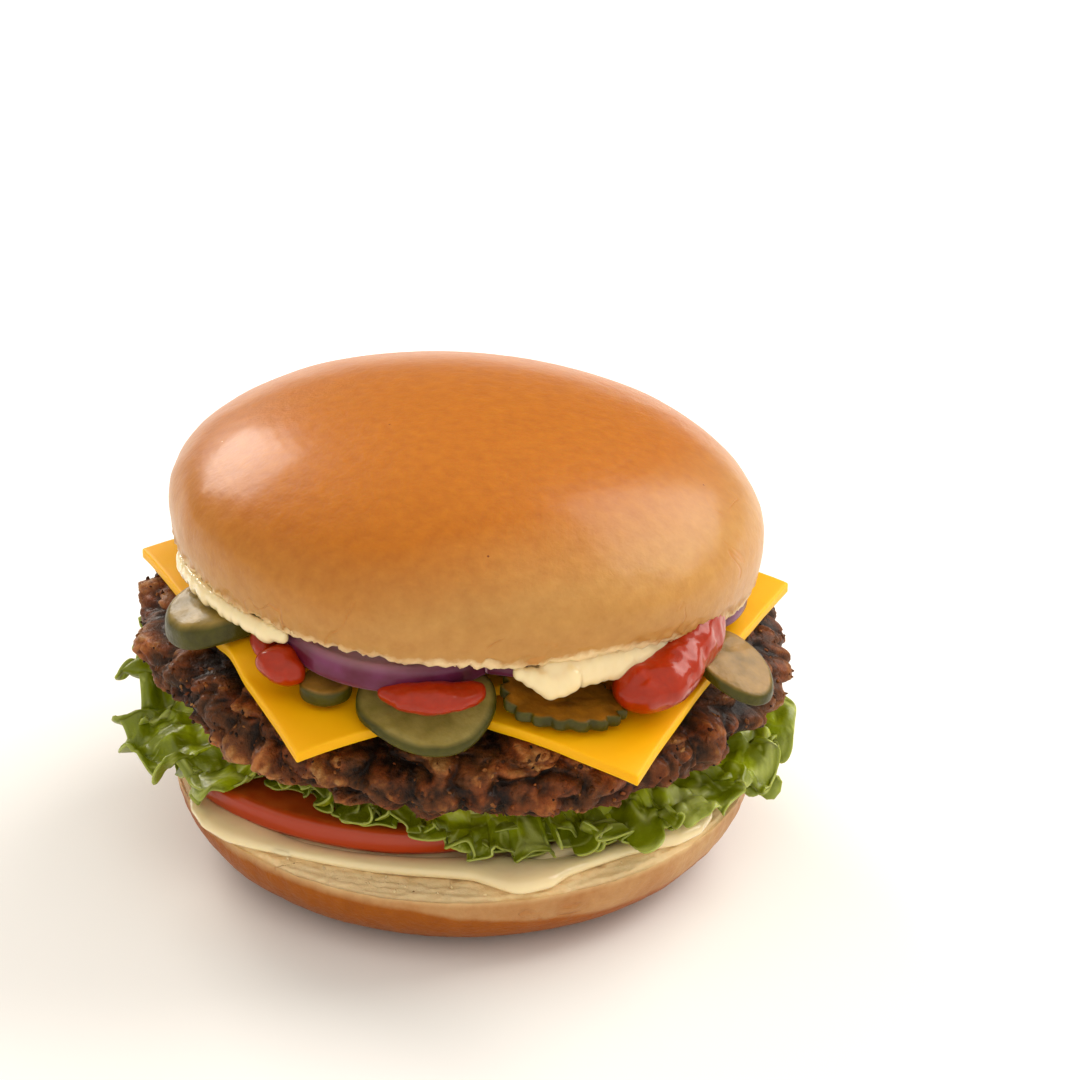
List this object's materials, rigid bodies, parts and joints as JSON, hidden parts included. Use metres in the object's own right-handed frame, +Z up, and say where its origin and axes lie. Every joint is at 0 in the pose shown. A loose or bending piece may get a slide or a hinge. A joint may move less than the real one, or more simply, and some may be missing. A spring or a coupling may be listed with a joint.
{
  "type": "hamburger",
  "caption": "Hamburger in a round glossy bun: a craggy beef patty under draped cheese, pickles, ketchup and red onion, over lettuce, tomato and sauce.",
  "frame": {"origin": "centre of the flat underside of the heel, the bottom half of the bun", "axes": "+Z up through the burger, -Y towards the side that the picture shows, +X to that side's right"},
  "size_m": [0.1266, 0.1216, 0.0885],
  "materials": {
    "bun": "satin baked crust, stands in for bread",
    "sauce": "soft gloss, stands in for mayonnaise",
    "tomato": "wet, stands in for tomato",
    "lettuce": "satin, stands in for lettuce leaf",
    "patty": "seared and greasy, stands in for minced beef",
    "cheese": "satin, stands in for sliced cheese",
    "pickle": "wet, stands in for pickled cucumber",
    "onion": "wet, stands in for red onion",
    "ketchup": "high gloss, stands in for ketchup"
  },
  "bodies": {
    "root": {"bun_heel": "bun", "mayo_lower": "sauce", "tomato_slice": "tomato", "lettuce_left": "lettuce", "lettuce_front": "lettuce", "lettuce_right": "lettuce", "lettuce_back": "lettuce", "beef_patty": "patty", "cheese_lower": "cheese", "cheese_upper": "cheese", "pickle_left": "pickle", "pickle_inner": "pickle", "pickle_front": "pickle", "pickle_ridged": "pickle", "pickle_right": "pickle", "onion_left": "onion", "onion_right": "onion", "ketchup_left": "ketchup", "ketchup_middle": "ketchup", "ketchup_right": "ketchup", "mayo_upper": "sauce", "bun_crown": "bun"}
  },
  "joints": []
}
